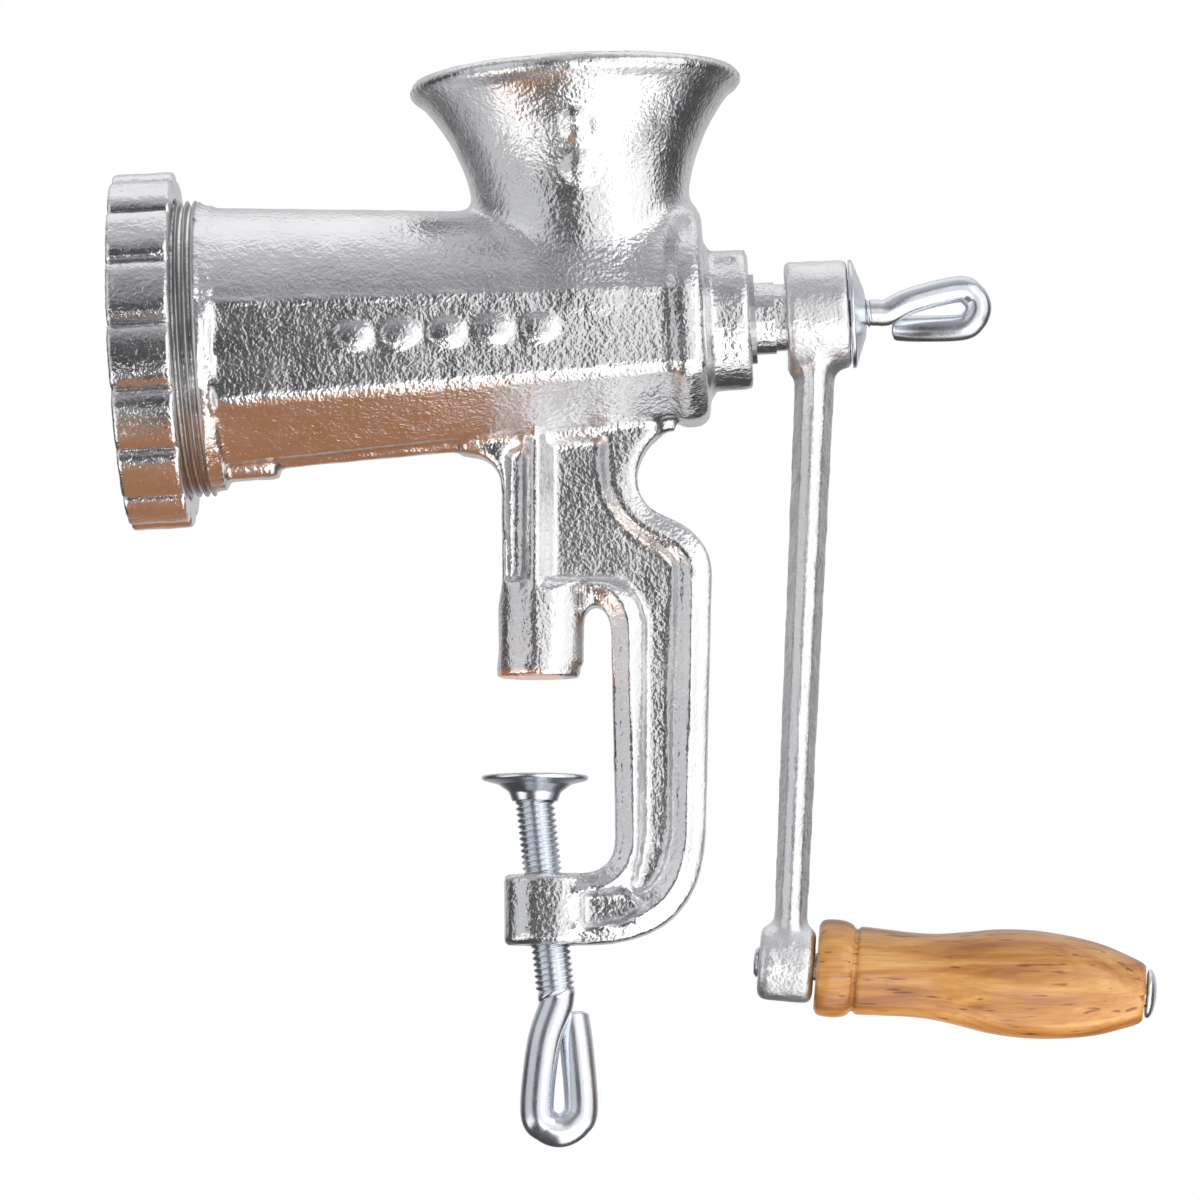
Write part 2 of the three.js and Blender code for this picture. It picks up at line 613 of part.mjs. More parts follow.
function clampDisc() {
  const top = DISC_TOP;
  const profile = [
    [0, top], [DISC_RADIUS - 0.5, top], [DISC_RADIUS, top - 0.5], [DISC_RADIUS - 0.2, top - 1.1],
    [9, top - 2.1], [6.4, top - 4.2], [5.6, top - 6.4], [0, top - 6.4],
  ].reverse();
  const solid = toSolid(new THREE.LatheGeometry(
    profile.map(([r, z]) => new THREE.Vector2(r, z)), 36).rotateX(Math.PI / 2))
    .translate([SCREW_X, 0, 0]);
  const socket = toSolid(screwAxisPlaced(tube(SCREW_TIP - GAP, 12, SCREW_RADIUS + GAP, 0, 24)));
  return toGeometry(solid.subtract(socket));
}

// ---------------------------------------------------------------- assembly

const handle = new THREE.Group();
handle.position.set(BOSS_X, 0, BOSS_Z);
handle.rotation.y = HANDLE_TILT;
handle.add(
  piece('handle_rivet', handleRivet(), ZINC),
  piece('handle_grip', handleGrip(), WOOD),
);

const head = new THREE.Group();
head.position.z = HEAD_HEIGHT;
head.rotation.y = -HEAD_TILT;
head.add(
  piece('ring_nut', ringNut(), TIN),
  piece('grinding_plate', grindingPlate(), STEEL),
  piece('plate_key', plateKey(), STEEL),
  piece('cutter_knife', cutterKnife(), STEEL),
  piece('drive_stub', driveStub(), STEEL),
  piece('auger', auger(), TIN),
  piece('thrust_washer', tube(AUGER_TAIL + GAP, BORE_BACK - GAP, 15.5, SHAFT_RADIUS + GAP, 32), FIBRE),
  piece('rear_bush', tube(BUSH_FRONT, BUSH_END, BUSH_RADIUS, SHAFT_RADIUS + GAP, 36), STEEL),
  piece('crank_arm', crankArm(), TIN),
  piece('crank_washer', crankWasher(), ZINC),
  piece('crank_eye_screw', crankEyeScrew(), ZINC),
  handle,
);

const grinder = new THREE.Group();
grinder.add(
  piece('body_casting', bodyCasting(), TIN),
  piece('clamp_screw', clampScrew(), ZINC),
  piece('clamp_disc', clampDisc(), ZINC),
  head,
);

export default grinder;
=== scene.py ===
"""Hand crank meat grinder: the fine surfaces, materials, studio and camera."""
import functools
import json
import math

import bpy
import numpy as np
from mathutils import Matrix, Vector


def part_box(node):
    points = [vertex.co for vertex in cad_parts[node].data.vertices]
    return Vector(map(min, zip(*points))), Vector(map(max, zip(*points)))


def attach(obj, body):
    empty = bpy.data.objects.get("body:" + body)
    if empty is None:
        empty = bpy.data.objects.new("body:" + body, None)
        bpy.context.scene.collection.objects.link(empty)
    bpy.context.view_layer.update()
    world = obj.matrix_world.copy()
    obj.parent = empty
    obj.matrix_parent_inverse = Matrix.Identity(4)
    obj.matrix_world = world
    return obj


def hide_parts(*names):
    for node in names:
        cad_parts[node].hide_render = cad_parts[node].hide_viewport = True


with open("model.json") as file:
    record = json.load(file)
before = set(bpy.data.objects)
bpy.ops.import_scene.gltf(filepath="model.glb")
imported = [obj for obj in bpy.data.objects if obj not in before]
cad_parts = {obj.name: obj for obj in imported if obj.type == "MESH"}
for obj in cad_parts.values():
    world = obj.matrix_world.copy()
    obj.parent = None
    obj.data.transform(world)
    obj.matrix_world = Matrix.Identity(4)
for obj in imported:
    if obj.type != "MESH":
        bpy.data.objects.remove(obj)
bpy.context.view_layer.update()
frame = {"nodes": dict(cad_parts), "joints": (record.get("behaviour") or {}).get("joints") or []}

import openvdb
from mathutils import Matrix, Vector, noise

MM = 0.001

# ------------------------------------------------------------------ frames of the moving parts
# Every length below is in millimetres, drawn in one of these frames and then placed.


def frame_along(origin_m, axis):
    """Frame whose X is the axis, whose Y is the world's +Y and whose Z is square to both."""
    x = Vector(axis).normalized()
    y = Vector((0, 1, 0))
    z = x.cross(y)
    m = Matrix((x, y, z)).transposed().to_4x4()
    m.translation = Vector(origin_m) / MM
    return m


JOINT = {j["name"]: j for j in frame["joints"]}
HEAD = frame_along(JOINT["crank_turn"]["pos_m"], JOINT["crank_turn"]["axis"])
HANDLE = frame_along(JOINT["grip_spin"]["pos_m"], JOINT["grip_spin"]["axis"])
SCREW = frame_along(JOINT["clamp_screw_turn"]["pos_m"],
                    [-v for v in JOINT["clamp_screw_turn"]["axis"]])
WORLD = Matrix.Identity(4)

# ------------------------------------------------------------------ sizes

NECK_FRONT, NECK_BACK, NECK_ROOT, NECK_CREST = -99.7, -80.0, 35.8, 37.25
NECK_PITCH, NECK_CREST_FLAT, NECK_FLANK = 2.0, 1.25, 1.3
SLOPE_FRONT, SLOPE_BACK, SLOPE_FOOT = -83.7, -81.0, 34.5
PLATE_RADIUS = 31.0
RECESS_BACK = -86.2
KEY_HALF, KEY_BOTTOM, PLATE_GAP = 2.3, -34.6, 0.4
RING_FRONT, RING_BACK, RING_RADIUS, RING_OPENING = -104.7, -89.3, 44.6, 28.6
RING_LIP, RING_LOBES, GROOVE_DEPTH, GROOVE_ANGLE = 2.9, 16, 3.7, math.radians(19.5)
GROOVE_START, GROOVE_REACH = 39.5, 3.0
BARREL_BACK, BARREL_RADIUS, BARREL_TAPER, BARREL_GAUGE = 36.0, 30.8, 0.066, -15
FLAT_LEAN, FLAT_REACH = 0.042, 0.9714
BEVEL_SIDE, BEVEL_DOWN, BEVEL_REACH, BEVEL_CUT = 0.853, 0.522, 1.0766, 0.65
FACET_SIDE, FACET_DOWN, FACET_REACH, BOTTOM_REACH = 0.5188, 0.855, 0.929, 0.868
REAR_SWELL, REAR_MIDDLE, REAR_HALF = 1.6, 37.6, 4.4
KEEL_HALF, KEEL_BOTTOM, KEEL_RISE, KEEL_FRONT, KEEL_LENGTH = 3.2, -31.2, 4.2, -68, 101
KEEL_MIDDLE, KEEL_HALF_LENGTH = -17, 50
LUG_HALF, LUG_BOTTOM, LUG_MIDDLE, LUG_HALF_LENGTH = 6, -33.6, -74, 7
RIDGE_REACH, RIDGE_INSET, RIDGE_LEVEL, RIDGE_RADIUS = 0.9798, 0.35, 0.2, 0.75
BORE_FRONT_RADIUS, BORE_BACK_RADIUS, BORE_BACK = 26.8, 21.6, 31.0
HUB_RADIUS, HUB_START, HUB_MIDDLE, HUB_END = 17.6, 30, 40, 53.0
FLANGE_RISE, FLANGE_MIDDLE, FLANGE_HALF = 1.2, 38, 5.4
BUSH_RADIUS, BUSH_START, BUSH_GAP = 11.2, 36, 0.05
SHAFT_RADIUS, SHAFT_START, SHAFT_GAP = 9.0, 20, 0.4
FUNNEL_X, RIM_HEIGHT, RIM_RADIUS, RIM_BEAD, FUNNEL_WALL = 12.1, 61.25, 41.5, 2.5, 3.4
THROAT_RADIUS, THROAT_TOP, FUNNEL_CURVE, FUNNEL_FOOT, CAVITY_FOOT = 26.6, 24.0, 2.3, 4, 2
DOME_COUNT, DOME_PITCH, DOME_MIDDLE, DOME_LEVEL = 5, 11.5, -22, -2.6
DOME_HALF, DOME_RISE = (4.9, 3.6), 1.1
HOPPER_DOME_LEVELS, HOPPER_DOME_X, HOPPER_DOME_HALF, HOPPER_DOME_RISE = (36.5, 46.5), 13.0, (4.2, 4.4), 1.3
PAD_RADIUS, PAD_HEIGHT = 10.4, 5.3
TAPPED_RADIUS, TAPPED_START = 5.15, 10
RIM_HALF, WEB_HALF = 7.4, 4.6
BEAD_HEIGHT, BEAD_INSET, BEAD_WIDTH = 1.5, 4.6, 1.5
STEM_RADIUS, STEM_MIDDLE, STEM_FLATTENING = 11.2, 0.5, 0.9
STEM_SIDE, STEM_FOOT, STEM_TOP, STEM_END = 11.3, -5, 21, 25.5
RIB_DEPTH, RIB_MIDDLE, RIB_HALF, RIB_FOOT, RIB_TOP = 10.2, -0.6, 3.4, 2, 64
FOOT_RADIUS, FOOT_TOP, FOOT_SIDE, FOOT_EASE, FOOT_STEP = 8.9, -40, 9, 5, 0.7
PAD_SIDE, PAD_REACH = 10.7, -20
CRANK_FRONT, CRANK_BACK, CRANK_HUB_RADIUS = 62.1, 77.8, 13.7
CRANK_HUB_TAPER, CRANK_HUB_HALF = 0.02, 7.85
CRANK_SOCKET_RADIUS, CRANK_SOCKET_HALF = 8.75, 7.7
ARM_TOP_MIDDLE, ARM_HALF_LENGTH, ARM_HALF_WIDTH = 68.9, 4.7, 7.6
ARM_LENGTH_TAPER, ARM_WIDTH_TAPER, ARM_START = 0.9, 1.4, 10
BOSS_RADIUS, BOSS_HALF = 9.2, 6.9
GRIP_START, GRIP_END = 7.5, 89.0
RIVET_RADIUS = 3.4

# ------------------------------------------------------------------ mesh building


def place(points, matrix):
    """Points in mm in a part's frame, as metres in the world."""
    rotation = np.array(matrix.to_3x3())
    return (points @ rotation.T + np.array(matrix.translation)) * MM


def add_piece(name, points, faces, matrix, body, material, nodes=()):
    """One mesh object that rides on a body and stands for the named CAD nodes."""
    mesh = bpy.data.meshes.new(name)
    mesh.from_pydata(place(np.asarray(points, float), matrix).tolist(), [],
                     [tuple(int(i) for i in f) for f in faces])
    mesh.update()
    mesh.polygons.foreach_set("use_smooth", [True] * len(mesh.polygons))
    piece = bpy.data.objects.new(name, mesh)
    bpy.context.scene.collection.objects.link(piece)
    mesh.materials.append(material)
    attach(piece, body)
    if nodes:
        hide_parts(*nodes)
    return piece


def tube_faces(rings, count, closed_along=False):
    """Quads of a grid of rings, each of count points round."""
    faces = []
    for i in range(rings if closed_along else rings - 1):
        a, b = i * count, ((i + 1) % rings) * count
        for j in range(count):
            k = (j + 1) % count
            faces.append((a + j, a + k, b + k, b + j))
    return faces


def turned(profile, segments=96, radius_scale=None):
    """Profile of (along, radius) points turned about X; it starts and ends on the axis, or is
    closed on itself. radius_scale(angles, radius) may vary the radius round the axis."""
    closed = profile[0] == profile[-1]
    rows = profile[:-1] if closed else profile
    angles = np.arange(segments) / segments * math.tau
    points = []
    for along, radius in rows:
        r = np.full(segments, float(radius))
        if radius_scale is not None:
            r = radius_scale(angles, r)
        points.append(np.stack([np.full(segments, along), r * np.cos(angles), r * np.sin(angles)], 1))
    points = np.concatenate(points)
    faces = tube_faces(len(rows), segments, closed)
    if not closed:
        last = (len(rows) - 1) * segments
        faces.append(tuple(range(segments - 1, -1, -1)))
        faces.append(tuple(last + j for j in range(segments)))
    return points, faces


def rounded(profile, radius, steps=4):
    """The same profile with each inner corner of the polyline rounded."""
    points = [Vector(p) for p in profile]
    closed = profile[0] == profile[-1]
    if closed:
        points = points[:-1]
    out = []
    for i, p in enumerate(points):
        if not closed and i in (0, len(points) - 1):
            out.append(p)
            continue
        before, after = points[i - 1], points[(i + 1) % len(points)]
        r = min(radius, (before - p).length * 0.45, (after - p).length * 0.45)
        a = p + (before - p).normalized() * r
        b = p + (after - p).normalized() * r
        out += [a.lerp(p, t).lerp(p.lerp(b, t), t) for t in np.linspace(0, 1, steps)]
    if closed:
        out.append(out[0])
    return [tuple(p) for p in out]


# ------------------------------------------------------------------ distance fields


def smooth_min(a, b, k):
    """Union of two distance fields, blended over k mm."""
    h = np.clip(0.5 + 0.5 * (b - a) / k, 0, 1)
    return b + (a - b) * h - k * h * (1 - h)


def smooth_max(a, b, k):
    """Intersection of two distance fields, blended over k mm."""
    return -smooth_min(-a, -b, k)


def ramp(x, low, high):
    """Smooth rise from 0 at low to 1 at high."""
    t = np.clip((x - low) / (high - low), 0, 1)
    return t * t * (3 - 2 * t)


def polygon_distance(x, z, outline):
    """Signed distance to a closed outline in the XZ plane, negative inside."""
    best = np.full(np.broadcast(x, z).shape, 1e9)
    inside = np.zeros(best.shape, bool)
    for (ax, az), (bx, bz) in zip(outline, outline[1:] + outline[:1]):
        ex, ez = bx - ax, bz - az
        length2 = ex * ex + ez * ez
        if length2 < 1e-12:
            continue
        t = np.clip(((x - ax) * ex + (z - az) * ez) / length2, 0, 1)
        best = np.minimum(best, (x - ax - t * ex) ** 2 + (z - az - t * ez) ** 2)
        crosses = ((az > z) != (bz > z)) & (x < ex * (z - az) / (ez if ez else 1e-12) + ax)
        inside ^= crosses
    distance = np.sqrt(best)
    return np.where(inside, -distance, distance)


def bezier(points, steps=10):
    """Points of a Bezier curve of any order, without its first point."""
    out = []
    for t in np.linspace(0, 1, steps + 1)[1:]:
        row = [np.array(p, float) for p in points]
        while len(row) > 1:
            row = [a * (1 - t) + b * t for a, b in zip(row, row[1:])]
        out.append(tuple(row[0]))
    return out


def outline(start, *strokes):
    """Closed outline: each stroke is the list of control points after the last point drawn."""
    points = [start]
    for stroke in strokes:
        points += [stroke[0]] if len(stroke) == 1 else bezier([points[-1], *stroke])
    return points


class Grid:
    """Voxel grid over a box, giving coordinates in a part's frame."""

    def __init__(self, low, high, voxel):
        self.low, self.voxel = np.array(low, float), voxel
        counts = np.ceil((np.array(high) - self.low) / voxel).astype(int) + 1
        axes = [self.low[i] + voxel * np.arange(counts[i]) for i in range(3)]
        self.x = axes[0].reshape(-1, 1, 1)
        self.y = axes[1].reshape(1, -1, 1)
        self.z = axes[2].reshape(1, 1, -1)

    def inside(self, matrix):
        """X and Z in a frame that shares the world's Y."""
        m = matrix.inverted()
        return (m[0][0] * self.x + m[0][2] * self.z + m[0][3],
                m[2][0] * self.x + m[2][2] * self.z + m[2][3])

    def surface(self, field):
        grid = openvdb.FloatGrid(9.0)
        grid.copyFromArray(np.ascontiguousarray(field, np.float32))
        points, quads = grid.convertToQuads(isovalue=0.0)
        points = points.astype(float)
        triangles = points[quads[:, [0, 1, 2]]]
        normals = np.cross(triangles[:, 1] - triangles[:, 0], triangles[:, 2] - triangles[:, 0])
        if np.einsum("ij,ij->", triangles[:, 0], normals) < 0:
            quads = quads[:, ::-1]
        return points * self.voxel + self.low, quads


def roughen(piece, size_mm, height_mm, seed):
    """Moves every vertex along its normal by smooth noise: the unevenness of a sand casting."""
    mesh = piece.data
    shift = Vector((seed * 17.3, seed * 5.1, seed * 9.7))
    normals = [v.normal.copy() for v in mesh.vertices]
    for vertex, normal in zip(mesh.vertices, normals):
        n = noise.noise(vertex.co / (size_mm * MM) + shift)
        vertex.co += normal * (n * height_mm * MM)
    mesh.update()


# ------------------------------------------------------------------ materials


class Nodes:
    """Short hand for building a node tree."""

    def __init__(self, name):
        self.material = bpy.data.materials.new(name)
        self.material.use_nodes = True
        self.tree = self.material.node_tree
        self.tree.nodes.clear()
        self.output = self.add("ShaderNodeOutputMaterial")
        self.shader = self.add("ShaderNodeBsdfPrincipled")
        self.link(self.shader.outputs["BSDF"], self.output.inputs["Surface"])
        self.position = self.add("ShaderNodeTexCoord").outputs["Object"]

    def add(self, kind, **values):
        node = self.tree.nodes.new(kind)
        for key, value in values.items():
            if hasattr(node, key):
                setattr(node, key, value)
            else:
                node.inputs[key.replace("_", " ")].default_value = value
        return node

    def link(self, source, target):
        self.tree.links.new(source, target)

    def stretched(self, scale, rotation=(0, 0, 0)):
        mapping = self.add("ShaderNodeMapping")
        mapping.inputs["Scale"].default_value = scale
        mapping.inputs["Rotation"].default_value = rotation
        self.link(self.position, mapping.inputs["Vector"])
        return mapping.outputs["Vector"]

    def noise(self, scale, detail=3.0, roughness=0.5, vector=None, distortion=0.0):
        node = self.add("ShaderNodeTexNoise")
        node.inputs["Scale"].default_value = scale
        node.inputs["Detail"].default_value = detail
        node.inputs["Roughness"].default_value = roughness
        node.inputs["Distortion"].default_value = distortion
        self.link(vector or self.position, node.inputs["Vector"])
        return node.outputs["Fac"]

    def ramp(self, source, *stops):
        node = self.add("ShaderNodeValToRGB")
        elements = node.color_ramp.elements
        while len(elements) < len(stops):
            elements.new(0.5)
        for element, (place_at, colour) in zip(elements, stops):
            element.position = place_at
            if not isinstance(colour, tuple):
                colour = (colour, colour, colour)
            element.color = (*colour, 1)
        self.link(source, node.inputs["Fac"])
        return node.outputs["Color"]

    def bump(self, height, distance_mm, strength=1.0, normal=None):
        node = self.add("ShaderNodeBump")
        node.inputs["Strength"].default_value = strength
        node.inputs["Distance"].default_value = distance_mm * MM
        self.link(height, node.inputs["Height"])
        if normal is not None:
            self.link(normal, node.inputs["Normal"])
        return node.outputs["Normal"]

    def finish(self, metallic, colour=None, roughness=None, normal=None, **fixed):
        self.shader.inputs["Metallic"].default_value = metallic
        if colour is not None:
            self.link(colour, self.shader.inputs["Base Color"])
        if roughness is not None:
            self.link(roughness, self.shader.inputs["Roughness"])
        if normal is not None:
            self.link(normal, self.shader.inputs["Normal"])
        for key, value in fixed.items():
            self.shader.inputs[key.replace("_", " ")].default_value = value
        return self.material


def tinned_iron(name, darkest, smoothest, roughest, pitting):
    n = Nodes(name)
    cloud = n.noise(28, 3, 0.6)
    grain = n.noise(1300, 1, 0.5)
    pits = n.noise(700, 1, 0.5)
    colour = n.ramp(cloud, (0.30, (darkest, darkest, darkest + 0.015)), (0.70, (0.91, 0.91, 0.915)))
    roughness = n.ramp(n.noise(90, 4, 0.6), (0.30, smoothest), (0.72, roughest))
    normal = n.bump(grain, 0.60, 0.22)
    normal = n.bump(pits, 0.60, pitting, normal)
    return n.finish(1.0, colour, roughness, normal)


def machined_iron():
    n = Nodes("machined_iron")
    colour = n.ramp(n.noise(110, 3, 0.6), (0.3, (0.40, 0.40, 0.40)), (0.7, (0.58, 0.58, 0.575)))
    roughness = n.ramp(n.noise(300, 3, 0.6), (0.3, 0.26), (0.7, 0.40))
    return n.finish(1.0, colour, roughness, n.bump(n.noise(900, 2, 0.5), 0.08, 0.5))


def zinc_steel():
    n = Nodes("zinc_steel")
    colour = n.ramp(n.noise(60, 3, 0.6), (0.3, (0.74, 0.78, 0.84)), (0.7, (0.86, 0.89, 0.93)))
    roughness = n.ramp(n.noise(160, 4, 0.6), (0.3, 0.20), (0.75, 0.34))
    normal = n.bump(n.noise(900, 2, 0.5), 0.04, 0.5)
    return n.finish(1.0, colour, roughness, normal)


def cutting_steel():
    n = Nodes("cutting_steel")
    colour = n.ramp(n.noise(70, 3, 0.6), (0.3, (0.52, 0.53, 0.55)), (0.7, (0.66, 0.67, 0.69)))
    scratches = n.noise(700, 2, 0.5, n.stretched((1, 1, 0.04)))
    roughness = n.ramp(scratches, (0.3, 0.18), (0.7, 0.34))
    return n.finish(1.0, colour, roughness, n.bump(scratches, 0.03, 0.5))


def bush_steel():
    n = Nodes("bush_steel")
    colour = n.ramp(n.noise(120, 3, 0.6), (0.3, (0.42, 0.43, 0.45)), (0.7, (0.6, 0.61, 0.63)))
    roughness = n.ramp(n.noise(300, 3, 0.6), (0.3, 0.28), (0.7, 0.42))
    return n.finish(1.0, colour, roughness, n.bump(n.noise(800, 2, 0.5), 0.05, 0.5))


def fibre():
    n = Nodes("fibre")
    colour = n.ramp(n.noise(400, 4, 0.7), (0.3, (0.22, 0.09, 0.05)), (0.7, (0.42, 0.19, 0.11)))
    return n.finish(0.0, colour, n.ramp(n.noise(300, 3), (0.3, 0.65), (0.7, 0.85)),
                    n.bump(n.noise(900, 3), 0.08, 0.6))


def varnished_wood():
    n = Nodes("varnished_wood")
    tilt = (0, math.asin(HANDLE[2][0]), 0)
    along = n.stretched((0.10, 1, 1), tilt)
    bands = n.noise(190, 4, 0.55, along, 0.6)
    fine = n.noise(1500, 3, 0.6, n.stretched((0.05, 1, 1), tilt))
    pores = n.noise(900, 1, 0.4, n.stretched((0.11, 1, 1), tilt))
    base = n.ramp(bands, (0.30, (0.35, 0.126, 0.024)), (0.46, (0.56, 0.24, 0.052)),
                  (0.60, (0.71, 0.36, 0.105)), (0.80, (0.80, 0.465, 0.165)))
    streak = n.ramp(fine, (0.35, (0.80, 0.74, 0.68)), (0.65, (1.0, 1.0, 1.0)))
    dash = n.ramp(pores, (0.27, (0.34, 0.17, 0.08)), (0.33, (1.0, 1.0, 1.0)))
    for layer in (streak, dash):
        mix = n.add("ShaderNodeMix", data_type="RGBA", blend_type="MULTIPLY")
        mix.inputs[0].default_value = 0.75
        n.link(base, mix.inputs[6])
        n.link(layer, mix.inputs[7])
        base = mix.outputs[2]
    normal = n.bump(fine, 0.05, 0.35)
    return n.finish(0.0, base, n.ramp(bands, (0.3, 0.42), (0.7, 0.32)), normal,
                    Coat_Weight=0.6, Coat_Roughness=0.12)


TIN = tinned_iron("tinned_iron", 0.80, 0.17, 0.30, 0.32)
DULL_TIN = tinned_iron("dull_tinned_iron", 0.88, 0.32, 0.46, 0.25)
MACHINED, ZINC, CUTTING = machined_iron(), zinc_steel(), cutting_steel()
BUSH, FIBRE, WOOD = bush_steel(), fibre(), varnished_wood()

# ------------------------------------------------------------------ body casting


def barrel_section(y, w, radius):
    """Distance to the barrel's section: round top, flat sides, two facets and a flat bottom."""
    side = np.abs(y)
    top = np.sqrt(side ** 2 + np.maximum(w, 0) ** 2) - radius
    flat = side - FLAT_LEAN * w - FLAT_REACH * radius
    bevel = BEVEL_SIDE * side - BEVEL_DOWN * w - (BEVEL_REACH * radius - BEVEL_CUT)
    facet = FACET_SIDE * side - FACET_DOWN * w - FACET_REACH * radius
    bottom = -w - BOTTOM_REACH * radius
    return functools.reduce(np.maximum, [top, flat, bevel, facet, bottom])


def funnel_radius(w):
    """Radius of the hopper's outside at height w, and how fast it grows."""
    t = np.clip((w - THROAT_TOP) / (RIM_HEIGHT - THROAT_TOP), 0, 1.2)
    flare = RIM_RADIUS - THROAT_RADIUS
    steepness = flare * FUNNEL_CURVE * t ** 1.3 / (RIM_HEIGHT - THROAT_TOP)
    return THROAT_RADIUS + flare * t ** FUNNEL_CURVE, steepness


def frame_outline():
    return outline(
        (30, 66), [(30, 60.7)], [(24.6, 56), (24.6, 50)],
        [(24.6, 40), (34, 40.5), (38, 36.5)], [(43.2, 32), (43.2, 26)], [(41.6, -38)],
        [(41, -56), (33, -66.4), (12, -66.7)], [(-8.8, -66.7)], [(-8.8, -49.2)], [(10, -49)],
        [(19.2, -49), (19.2, -40)], [(18.2, 10)], [(18.2, 19.6), (11.2, 20.4), (11.2, 13)],
        [(11.2, 3)], [(-10, 3)], [(-10.2, 18)], [(-9, 24)], [(-9.2, 46.5)],
        [(-9.4, 53), (-12.5, 55.8), (-19, 56.2)], [(-19, 66)])


def panel_outlines():
    leg = outline(
        (3.3, 58), [(16, 59.2)], [(15, 46), (17.5, 42), (24.2, 36)],
        [(30, 31), (34, 31), (34, 26)], [(32.6, -38)], [(32, -50), (27, -55), (23.5, -53)],
        [(26.3, -44), (26.3, -40)], [(26.6, 13)], [(26, 23), (17, 24.3)], [(3.3, 24.3)])
    front = [(-7.6, 24.3), (-3.8, 24.3), (-3.8, 57.5), (-7.6, 55)]
    foot = [(11.2, -54.4), (22, -53.6), (25.6, -57.6), (21, -60.8), (11.2, -62)]
    return [leg, front, foot]


def dome_relief(x, z, centre, half, height):
    """Plain oval dome standing on a face."""
    d = ((x - centre[0]) / half[0]) ** 2 + ((z - centre[1]) / half[1]) ** 2
    return height * np.sqrt(np.maximum(1 - d, 0))


def clamp_frame(g):
    """Distance to the clamp frame: an outline whose depth varies over its face."""
    x, z = g.x, g.z
    edge = polygon_distance(x, z, frame_outline())
    panel = np.minimum.reduce([polygon_distance(x, z, o) for o in panel_outlines()])
    inset = -edge
    bead = BEAD_HEIGHT * np.exp(-((inset - BEAD_INSET) / BEAD_WIDTH) ** 2) * ramp(-z, -60, -20)
    half = WEB_HALF + (RIM_HALF + bead - WEB_HALF) * ramp(panel, -0.3, 0.9)
    stem = np.sqrt(np.maximum(STEM_RADIUS ** 2 - (x - STEM_MIDDLE) ** 2, 0)) * STEM_FLATTENING
    below = 1 - ramp(z, STEM_TOP, STEM_END)
    on_stem = (x < STEM_SIDE) & (z > STEM_FOOT)
    half = np.where(on_stem, half * (1 - below) + stem * below, half)
    across = np.maximum(1 - ((x - RIB_MIDDLE) / RIB_HALF) ** 2, 0)
    rib = RIB_DEPTH * np.sqrt(across) * (z > RIB_FOOT) * (z < RIB_TOP)
    half = -smooth_min(-half, -rib, 1.0)
    boss = np.sqrt(np.maximum(FOOT_RADIUS ** 2 - np.minimum(x, 0) ** 2, 0))
    on_foot = (z < FOOT_TOP) & (x < FOOT_SIDE)
    half = np.where(on_foot, boss - FOOT_STEP * ramp(x, FOOT_EASE, FOOT_SIDE), half)
    frame_field = smooth_max(edge + 0 * g.y, np.abs(g.y) - half, 2.0)
    r = np.sqrt(x ** 2 + g.y ** 2)
    pad = smooth_max(smooth_max(r - PAD_RADIUS, z - PAD_HEIGHT, 3.0), -z, 1.0)
    field = smooth_min(frame_field, pad, 0.8)
    return np.where((x < PAD_SIDE) & (z > PAD_REACH), np.maximum(field, -z), field)


def barrel_field(u, y, w, r):
    """Distance to the barrel with its keel, front lug, slope, rear swelling and side ridges."""
    radius = BARREL_RADIUS - BARREL_TAPER * (u - BARREL_GAUGE)
    section = barrel_section(y, w, radius)
    past_ends = np.maximum(NECK_BACK - u, u - BARREL_BACK)
    solid = np.maximum(section, past_ends)

    keel_bottom = KEEL_BOTTOM + KEEL_RISE * (u - KEEL_FRONT) / KEEL_LENGTH
    keel_end = np.abs(u - KEEL_MIDDLE) - KEEL_HALF_LENGTH
    keel = smooth_max(np.abs(y) - KEEL_HALF, np.maximum(keel_bottom - w, keel_end), 1.6)
    solid = smooth_min(solid, np.maximum(keel, w), 1.6)
    lug_end = np.abs(u - LUG_MIDDLE) - LUG_HALF_LENGTH
    lug = smooth_max(np.abs(y) - LUG_HALF, np.maximum(LUG_BOTTOM - w, lug_end), 2.4)
    solid = smooth_min(solid, np.maximum(lug, w), 2.0)

    along = np.clip((u - SLOPE_FRONT) / (SLOPE_BACK - SLOPE_FRONT), 0, 1)
    slope_radius = NECK_CREST + (SLOPE_FOOT - NECK_CREST) * along
    collar = np.maximum(r - slope_radius, np.maximum(SLOPE_FRONT - u, u - SLOPE_BACK))
    solid = smooth_min(solid, collar, 1.5)
    rear = smooth_max(section - REAR_SWELL, np.abs(u - REAR_MIDDLE) - REAR_HALF, 4.0)
    solid = smooth_min(solid, rear, 1.6)
    ridge_side, ridge_height = RIDGE_REACH * radius - RIDGE_INSET, RIDGE_LEVEL * radius
    ridge = np.sqrt((np.abs(y) - ridge_side) ** 2 + (w - ridge_height) ** 2) - RIDGE_RADIUS
    return smooth_min(solid, np.maximum(ridge, past_ends), 0.5)


def hub_field(u, r):
    """Distance to the rear hub and its flange."""
    hub = smooth_max(r - HUB_RADIUS, np.abs(u - HUB_MIDDLE) - (HUB_END - HUB_MIDDLE), 1.6)
    flange_end = np.abs(u - FLANGE_MIDDLE) - FLANGE_HALF
    flange = smooth_max(r - HUB_RADIUS - FLANGE_RISE, flange_end, 1.6)
    return np.minimum(hub, flange)


